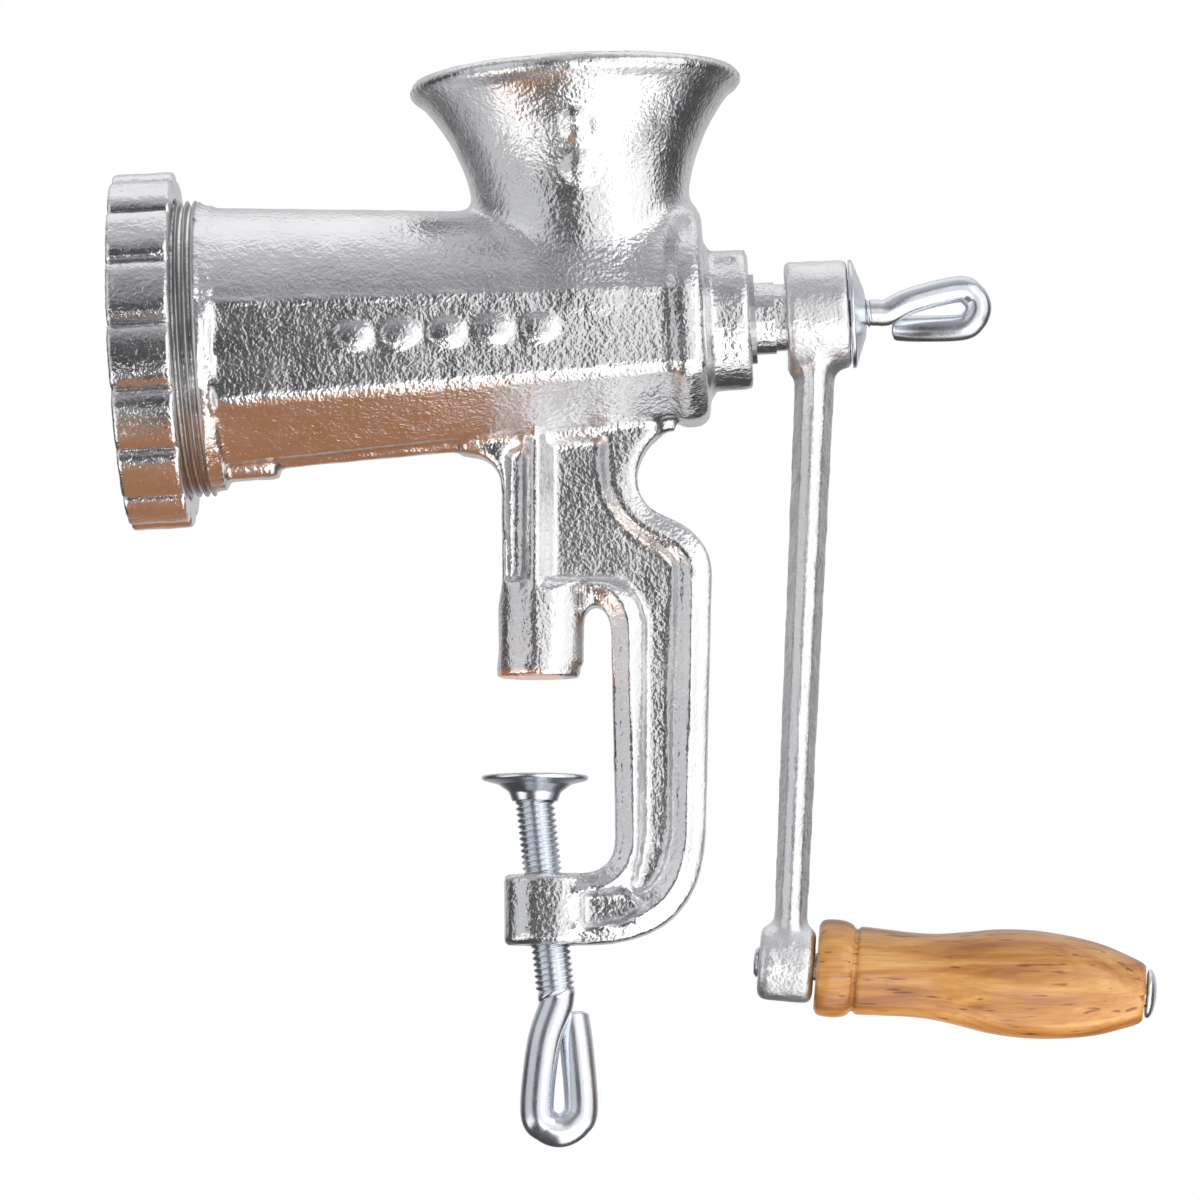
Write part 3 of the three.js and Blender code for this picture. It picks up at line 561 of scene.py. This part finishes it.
def with_domes(solid, u, y, w):
    """The solid with plain domes on the front of the barrel and of the hopper."""
    front = ramp(-y, 18, 22)
    for i in range(DOME_COUNT):
        centre = (DOME_MIDDLE + (i - (DOME_COUNT - 1) / 2) * DOME_PITCH, DOME_LEVEL)
        solid = solid - front * dome_relief(u, w, centre, DOME_HALF, DOME_RISE)
    hopper_front = ramp(-y, 12, 16)
    for level in HOPPER_DOME_LEVELS:
        centre = (HOPPER_DOME_X, level)
        solid = solid - hopper_front * dome_relief(u, w, centre, HOPPER_DOME_HALF, HOPPER_DOME_RISE)
    return solid


def bore_field(u, y, w, r):
    """Distance to the worm's bore, the plate's recess with its key slot, and the shaft's hole."""
    bore_radius = BORE_FRONT_RADIUS + (BORE_BACK_RADIUS - BORE_FRONT_RADIUS) * np.clip(
        (u - RECESS_BACK) / (BORE_BACK - RECESS_BACK), 0, 1)
    bore = np.maximum(r - bore_radius, u - BORE_BACK)
    recess = np.maximum(r - PLATE_RADIUS - PLATE_GAP, u - RECESS_BACK)
    key = np.maximum(np.abs(y) - KEY_HALF, np.maximum(KEY_BOTTOM - w, w))
    recess = np.minimum(recess, np.maximum(key, u - RECESS_BACK))
    shaft = np.where(u > BUSH_START, r - BUSH_RADIUS - BUSH_GAP, r - SHAFT_RADIUS - SHAFT_GAP)
    return np.minimum.reduce([bore, recess, np.maximum(shaft, SHAFT_START - u)])


def body_field(g):
    """Distance to the whole casting: barrel, hopper, clamp frame, hub and neck, hollowed out."""
    u, w = g.inside(HEAD)
    y = g.y
    r = np.sqrt(y ** 2 + w ** 2)
    from_funnel = np.sqrt((u - FUNNEL_X) ** 2 + y ** 2)
    wall_radius, slope = funnel_radius(w)
    funnel = (from_funnel - wall_radius) / np.sqrt(1 + slope ** 2)

    outside = np.maximum(funnel, np.maximum(w - RIM_HEIGHT, FUNNEL_FOOT - w))
    solid = smooth_min(barrel_field(u, y, w, r), outside, 4.5)
    solid = smooth_min(solid, clamp_frame(g), 3.0)
    solid = np.where(u > HUB_START, smooth_min(solid, hub_field(u, r), 2.0), solid)
    neck = np.maximum(r - NECK_ROOT, np.maximum(NECK_FRONT - u, u - NECK_BACK))
    solid = with_domes(np.minimum(solid, neck), u, y, w)

    cavity = np.maximum(funnel + FUNNEL_WALL, CAVITY_FOOT - w)
    solid = np.maximum(solid, -np.minimum(bore_field(u, y, w, r), cavity))
    bead = np.sqrt((from_funnel - RIM_RADIUS + RIM_BEAD) ** 2 + (w - RIM_HEIGHT) ** 2) - RIM_BEAD
    solid = smooth_min(solid, bead, 1.0)

    s, q = g.inside(SCREW)
    tapped = np.maximum(np.sqrt(q ** 2 + y ** 2) - TAPPED_RADIUS, TAPPED_START - s)
    return np.maximum(solid, -tapped)


def body_casting():
    g = Grid((-106, -45, -70), (57, 45, 156), 1.1)
    points, quads = g.surface(body_field(g))
    piece = add_piece("body_skin", points, quads, WORLD, "body", TIN, ["body_casting"])
    roughen(piece, 6.0, 0.13, 1)
    roughen(piece, 2.2, 0.05, 2)


def neck_thread():
    """Helical thread round the neck, drawn as an open skin whose two ends dip below the neck's root."""
    start, end = NECK_FRONT + 0.6, SLOPE_FRONT + 0.4
    segments, per_pitch = 160, 10
    rows = int((end - start) / NECK_PITCH * per_pitch)
    angles = np.arange(segments) / segments * math.tau
    points = []
    for i in range(rows + 1):
        along = start + (end - start) * i / rows
        phase = (along / NECK_PITCH - angles / math.tau) % 1.0
        height = np.clip(NECK_CREST_FLAT * (1 - np.abs(2 * phase - 1) * NECK_FLANK), 0, 1)
        r = NECK_ROOT - 0.1 + (NECK_CREST - NECK_ROOT + 0.05) * height
        if i in (0, rows):
            r = np.full(segments, NECK_ROOT - 0.8)
        points.append(np.stack([np.full(segments, along), r * np.cos(angles), r * np.sin(angles)], 1))
    return add_piece("neck_thread", np.concatenate(points), tube_faces(rows + 1, segments), HEAD,
                     "body", MACHINED, ["body_casting"])


def ring_nut():
    """Ring of rounded lobes with a sharp groove between each two, worn round at every edge."""
    profile = rounded([
        (RING_FRONT, RING_OPENING + 1), (RING_FRONT, RING_RADIUS), (RING_BACK, RING_RADIUS),
        (RING_BACK, NECK_CREST + 0.35), (RING_FRONT + RING_LIP, NECK_CREST + 0.35),
        (RING_FRONT + RING_LIP, RING_OPENING), (RING_FRONT + 1.2, RING_OPENING),
        (RING_FRONT, RING_OPENING + 1)], 1.2, 5)
    fine = []
    for a, b in zip(profile, profile[1:]):
        steps = max(1, int(math.hypot(b[0] - a[0], b[1] - a[1]) / 1.6))
        fine += [(a[0] + (b[0] - a[0]) * t / steps, a[1] + (b[1] - a[1]) * t / steps)
                 for t in range(steps)]
    fine.append(fine[0])

    def flutes(angles, radius):
        rise = np.abs(np.sin((angles - GROOVE_ANGLE) * RING_LOBES / 2))
        groove = 1 - np.sqrt(1 - (1 - rise) ** 2 + 1e-4)
        reach = np.clip((radius - GROOVE_START) / GROOVE_REACH, 0, 1)
        return radius - GROOVE_DEPTH * groove * reach

    points, faces = turned(fine, 480, flutes)
    piece = add_piece("ring_nut_skin", points, faces, HEAD, "ring", TIN, ["ring_nut"])
    roughen(piece, 5.0, 0.18, 3)
    roughen(piece, 1.8, 0.08, 4)


# ------------------------------------------------------------------ crank


def crank_arm():
    g = Grid((48, -17, -100), (85, 17, 106), 0.8)
    u, w = g.inside(HEAD)
    y = g.y
    s, q = g.inside(HANDLE)
    boss_u = HEAD.inverted() @ HANDLE.translation
    r = np.sqrt(y ** 2 + w ** 2)
    middle = (CRANK_FRONT + CRANK_BACK) / 2
    hub_side = r - CRANK_HUB_RADIUS + CRANK_HUB_TAPER * (u - middle)
    hub = smooth_max(hub_side, np.abs(u - middle) - CRANK_HUB_HALF, 1.6)
    t = np.clip((w + ARM_START) / (boss_u.z + ARM_START), 0, 1)
    line = ARM_TOP_MIDDLE + (boss_u.x + 0.6 - ARM_TOP_MIDDLE) * t
    half_u = ARM_HALF_LENGTH - ARM_LENGTH_TAPER * t
    half_y = ARM_HALF_WIDTH - ARM_WIDTH_TAPER * t
    du, dy = np.abs(u - line), np.abs(y)
    end_facet = du * 0.93 + dy * 0.37 - half_u * 1.02
    side_facet = dy * 0.88 + du * 0.475 - half_y * 0.88
    arm = np.maximum(np.maximum(end_facet, side_facet), np.maximum(w, boss_u.z - w))
    boss = smooth_max(np.sqrt(y ** 2 + q ** 2) - BOSS_RADIUS, np.abs(s) - BOSS_HALF, 2.6)
    solid = smooth_min(smooth_min(arm, hub, 3.5), boss, 3.0)
    socket = np.maximum(r - CRANK_SOCKET_RADIUS, np.abs(y) - CRANK_SOCKET_HALF)
    rivet = np.sqrt(y ** 2 + q ** 2) - RIVET_RADIUS - 0.1
    solid = np.maximum(solid, -np.minimum(socket, rivet))
    points, quads = g.surface(solid)
    piece = add_piece("crank_arm_skin", points, quads, WORLD, "crank", DULL_TIN,
                      ["crank_arm"])
    roughen(piece, 6.0, 0.14, 5)
    roughen(piece, 1.8, 0.09, 6)


def swept_rod(name, path, radius_at, body, matrix, nodes, sides=40):
    """A round bar along a path; radius_at(distance, angles) gives its radius, thread and all."""
    path = np.array(path, float)
    steps = np.linalg.norm(np.diff(path, axis=0), axis=1)
    distance = np.concatenate([[0], np.cumsum(steps)])
    tangents = np.gradient(path, distance, axis=0)
    tangents /= np.linalg.norm(tangents, axis=1)[:, None]
    normal = np.array([0.0, 1.0, 0.0])
    angles = np.arange(sides) / sides * math.tau
    rows = []
    for point, tangent, along in zip(path, tangents, distance):
        normal = normal - tangent * normal.dot(tangent)
        normal /= np.linalg.norm(normal)
        across = np.cross(tangent, normal)
        r = radius_at(along, angles)[:, None]
        rows.append(point + r * (np.cos(angles)[:, None] * normal + np.sin(angles)[:, None] * across))
    points = np.concatenate(rows)
    faces = tube_faces(len(rows), sides)
    last = (len(rows) - 1) * sides
    faces += [tuple(range(sides - 1, -1, -1)), tuple(last + j for j in range(sides))]
    return add_piece(name, points, faces, matrix, body, ZINC, nodes)


def catmull(points, per_span):
    """Smooth curve through points."""
    p = [np.array(v, float) for v in points]
    p = [2 * p[0] - p[1], *p, 2 * p[-1] - p[-2]]
    out = []
    for a, b, c, d in zip(p, p[1:], p[2:], p[3:]):
        for t in np.arange(per_span) / per_span:
            out.append(0.5 * (2 * b + (c - a) * t + (2 * a - 5 * b + 4 * c - d) * t ** 2
                              + (3 * b - a - 3 * c + d) * t ** 3))
    return [*out, p[-2]]


def eye_path(reach, half_width, start, side, lean):
    """Centre line of the bent eye: out along one side, round the end and back beside the rod."""
    centre = reach - half_width
    span = centre - start
    path = [
        (start, 0, 0), (start + 3, 0, 0), (start + span * 0.45, -0.6, half_width * 0.55 + lean * 0.6),
        (centre, -0.6, half_width + lean), (reach - half_width * 0.25, 0, half_width * 0.62 + lean),
        (reach, 0.4, lean), (reach - half_width * 0.3, 0.8, lean - half_width * 0.66),
        (centre, 1.4, lean - half_width), (start + span * 0.5, 3.4, lean * 0.6 - half_width * 0.9),
        (start + span * 0.22, 5.2, lean * 0.3 - half_width * 0.72)]
    return [(x, y, side * z) for x, y, z in path]


def eye_screw(name, tip, thread_end, start, reach, eye, crest, rod, pitch, *where):
    """Threaded rod whose plain end is bent round into an eye."""
    straight = [(x, 0, 0) for x in np.arange(tip, start, pitch / 9)]
    path = straight + [tuple(p) for p in catmull(eye_path(reach, eye[0], start, *eye[1:]), 14)]
    total = sum(math.dist(a, b) for a, b in zip(path, path[1:]))

    def radius_at(along, angles):
        phase = (along / pitch - angles / math.tau) % 1.0
        thread = crest - pitch * 0.56 * (1 - np.clip(1.12 * np.abs(2 * phase - 1), 0, 1))
        fade = np.clip((along - (thread_end - tip)) / pitch, 0, 1)
        r = thread * (1 - fade) + rod * fade
        end = min(along, total - along)
        return r - 0.7 * (1 - min(end / 0.7, 1)) ** 2

    return swept_rod(name, path, radius_at, *where)


def lathe_piece(name, profile, matrix, body, material, nodes, edge=0.3, segments=96):
    points, faces = turned(rounded(profile, edge), segments)
    return add_piece(name, points, faces, matrix, body, material, nodes)


def crank_fasteners():
    base = CRANK_BACK + 0.3
    lathe_piece("crank_washer_skin", [
        (base, 12.2), (base, 13.6), (base + 0.9, 13.6), (base + 3.6, 6.0), (base + 3.9, 4.1),
        (base + 2.6, 4.1), (base, 12.2)], HEAD, "washer", ZINC, ["crank_washer"])
    eye_screw("crank_eye_screw_skin", 63, 82.5, 84.5, 110.2, (4.7, 1, 0), 3.6, 3.3, 1.25,
              "eye_screw", HEAD, ["crank_eye_screw"])


def handle():
    head = [(GRIP_END + 1.1 + 2.05 * math.sin(a), 6.1 * math.cos(a))
            for a in np.linspace(0, math.pi / 2, 8)]
    lathe_piece("handle_rivet_skin", [
        (-BOSS_HALF - 1.3, 0), (-BOSS_HALF - 1.1, 3.0), (-BOSS_HALF - 0.2, 3.9),
        (-BOSS_HALF - 0.1, RIVET_RADIUS), (GRIP_END + 0.7, RIVET_RADIUS), (GRIP_END + 0.5, 5.2),
        (GRIP_END + 0.7, 5.9), *head], HANDLE, "crank", ZINC, ["handle_rivet"], 0.25)
    shape = catmull([
        (GRIP_START, 10.4, 0), (8.4, 11.7, 0), (10.4, 12.15, 0), (13.4, 12.1, 0), (15.6, 11.4, 0),
        (16.7, 10.35, 0), (17.5, 10.45, 0), (18.4, 10.95, 0), (24, 10.75, 0), (31, 10.5, 0),
        (37, 10.7, 0), (44, 11.7, 0), (51, 12.9, 0), (58, 13.4, 0), (64, 13.3, 0),
        (71, 12.6, 0), (78, 11.3, 0), (84, 9.3, 0), (87.8, 7.8, 0), (GRIP_END, 6.9, 0)], 5)
    bore = RIVET_RADIUS + 0.3
    outside = [(float(p[0]), float(p[1])) for p in shape]
    profile = [(GRIP_START, bore), *outside, (GRIP_END, bore), (GRIP_START, bore)]
    points, faces = turned(profile, 96)
    add_piece("handle_grip_skin", points, faces, HANDLE, "grip", WOOD, ["handle_grip"])


# ------------------------------------------------------------------ clamp


def clamp_screw():
    eye_screw("clamp_screw_skin", -3, 47.5, 47, 81.75, (5.5, -1, 2.3), 4.9, 4.2, 1.5,
              "screw", SCREW, ["clamp_screw"])
    low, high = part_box("clamp_disc")
    centre = (low + high) / 2 / MM
    radius, top = (high.x - low.x) / 2 / MM, high.z / MM
    place_disc = Matrix.Translation((centre.x, centre.y, top)) @ Matrix.Rotation(math.pi / 2, 4, "Y")
    lathe_piece("clamp_disc_skin", [
        (0, 0), (0, radius - 0.4), (0.5, radius), (1.2, radius - 0.3), (2.2, 9.2), (4.2, 6.5),
        (6.4, 5.7), (6.4, 5.2), (3.0, 5.2), (3.0, 0)], place_disc, "disc", ZINC,
        ["clamp_disc"], 0.5)


body_casting()
neck_thread()
ring_nut()
crank_arm()
crank_fasteners()
handle()
clamp_screw()

CAD_LOOKS = {"grinding_plate": CUTTING, "plate_key": CUTTING, "cutter_knife": CUTTING,
             "drive_stub": CUTTING, "auger": TIN, "thrust_washer": FIBRE, "rear_bush": BUSH}
for node, material in CAD_LOOKS.items():
    slots = frame["nodes"][node].data.materials
    slots.clear()
    slots.append(material)

# ------------------------------------------------------------------ studio and camera


FLOOR_HEIGHT = -0.32
ROOM_SHADES = [(0.30, (0.07, 0.07, 0.07, 1)), (0.46, (0.06, 0.058, 0.056, 1)),
               (0.54, (0.06, 0.06, 0.062, 1)), (0.66, (0.19, 0.19, 0.205, 1)),
               (0.80, (0.29, 0.29, 0.31, 1)), (1.0, (0.64, 0.645, 0.66, 1))]
BEHIND_COLOUR, BEHIND_START, BEHIND_FULL = (0.70, 0.70, 0.715, 1), 0.45, 0.95
ROOM_STRENGTH = 0.9


def floor_plane():
    """Pale paper floor, kept out of reflections."""
    bpy.ops.mesh.primitive_plane_add(size=8, location=(0, 0, FLOOR_HEIGHT))
    floor = bpy.context.object
    floor.name = "floor"
    n = Nodes("floor_paper")
    floor.data.materials.append(n.finish(0.0, n.ramp(n.noise(3, 2), (0.3, 0.86), (0.7, 0.90)),
                                         Roughness=0.9))
    floor.visible_glossy = False


def room():
    """A room that is dark toward the camera and light above and behind, and white to the camera."""
    world = bpy.data.worlds.new("studio")
    bpy.context.scene.world = world
    world.use_nodes = True
    tree = world.node_tree
    tree.nodes.clear()
    out = tree.nodes.new("ShaderNodeOutputWorld")
    lit = tree.nodes.new("ShaderNodeBackground")
    seen = tree.nodes.new("ShaderNodeBackground")
    lit.inputs["Strength"].default_value = ROOM_STRENGTH
    direction = tree.nodes.new("ShaderNodeTexCoord")
    parts = tree.nodes.new("ShaderNodeSeparateXYZ")
    height = tree.nodes.new("ShaderNodeMapRange")
    height.inputs["From Min"].default_value = -1.0
    shade = tree.nodes.new("ShaderNodeValToRGB")
    while len(shade.color_ramp.elements) < len(ROOM_SHADES):
        shade.color_ramp.elements.new(0.5)
    for element, (at, colour) in zip(shade.color_ramp.elements, ROOM_SHADES):
        element.position, element.color = at, colour
    tree.links.new(direction.outputs["Generated"], parts.inputs[0])
    tree.links.new(parts.outputs["Z"], height.inputs["Value"])
    tree.links.new(height.outputs["Result"], shade.inputs["Fac"])
    raised = tree.nodes.new("ShaderNodeMath")
    raised.operation = "MULTIPLY_ADD"
    raised.inputs[1].default_value = 0.6
    tree.links.new(parts.outputs["Z"], raised.inputs[0])
    tree.links.new(parts.outputs["Y"], raised.inputs[2])
    behind = tree.nodes.new("ShaderNodeMapRange")
    behind.interpolation_type = "SMOOTHSTEP"
    behind.inputs["From Min"].default_value = BEHIND_START
    behind.inputs["From Max"].default_value = BEHIND_FULL
    tree.links.new(raised.outputs[0], behind.inputs["Value"])
    blend = tree.nodes.new("ShaderNodeMix")
    blend.data_type = "RGBA"
    blend.inputs[7].default_value = BEHIND_COLOUR
    tree.links.new(behind.outputs["Result"], blend.inputs[0])
    tree.links.new(shade.outputs["Color"], blend.inputs[6])
    tree.links.new(blend.outputs[2], lit.inputs["Color"])
    seen.inputs["Color"].default_value = (1, 1, 1, 1)
    seen.inputs["Strength"].default_value = 1.0
    mix = tree.nodes.new("ShaderNodeMixShader")
    path = tree.nodes.new("ShaderNodeLightPath")
    tree.links.new(path.outputs["Is Camera Ray"], mix.inputs[0])
    tree.links.new(lit.outputs[0], mix.inputs[1])
    tree.links.new(seen.outputs[0], mix.inputs[2])
    tree.links.new(mix.outputs[0], out.inputs["Surface"])


def area_light(name, place_at, aim, size, power, colour):
    data = bpy.data.lights.new(name, "AREA")
    data.shape = "RECTANGLE"
    data.size, data.size_y = size
    data.energy = power
    data.color = colour
    light = bpy.data.objects.new(name, data)
    bpy.context.scene.collection.objects.link(light)
    light.location = place_at
    light.rotation_euler = (Vector(aim) - Vector(place_at)).to_track_quat("-Z", "Y").to_euler()


def lights():
    middle, white = (0.02, 0, 0.06), (1.0, 1.0, 1.0)
    area_light("top_softbox", (0.1, 0.40, 1.3), middle, (2.2, 1.2), 2.7, (1.0, 0.99, 0.99))
    area_light("left_softbox", (-1.2, -0.75, 0.3), middle, (1.5, 1.6), 4.3, (0.97, 0.98, 1.0))
    area_light("right_softbox", (1.2, -0.65, 0.3), middle, (1.5, 1.6), 7.5, (1.0, 0.99, 0.98))
    area_light("low_fill", (0.40, -0.30, -0.31), (0.40, -0.30, 0.2), (0.76, 0.7), 2.1, white)
    area_light("floor_bounce", (0.165, -0.74, -0.31), (0.165, -0.74, 0.2), (0.37, 0.72), 0.75, white)
    area_light("left_bounce", (-0.50, -0.40, -0.31), (-0.50, -0.40, 0.2), (0.5, 0.8), 1.5, white)
    area_light("front_softbox", (0.295, -0.45, 0.02), (0.295, 0, 0.02), (0.53, 0.62), 0.86, (1.0, 0.99, 0.99))
    area_light("warm_card", (-0.057, 0.005, -0.004), (-0.057, 0.005, 0.2), (0.125, 0.18), 0.021,
               (1.0, 0.36, 0.08))


def camera():
    """Long lens, a little below the object and a little towards the crank."""
    azimuth, elevation = math.radians(1.6), math.radians(-4.7)
    distance, frame_mm = 1.75, 300.0
    target = Vector((0.01525, 0, 0.0195))
    data = bpy.data.cameras.new("camera")
    data.sensor_width = 36
    data.lens = 36 * distance / (frame_mm * MM)
    data.clip_end = 20
    eye = bpy.data.objects.new("camera", data)
    bpy.context.scene.collection.objects.link(eye)
    back = Vector((math.sin(azimuth) * math.cos(elevation),
                   -math.cos(azimuth) * math.cos(elevation), math.sin(elevation)))
    eye.location = target + back * distance
    eye.rotation_euler = (target - eye.location).to_track_quat("-Z", "Y").to_euler()
    bpy.context.scene.camera = eye


floor_plane()
room()
lights()
camera()
bpy.context.scene.view_settings.view_transform = "Standard"

bpy.context.view_layer.update()
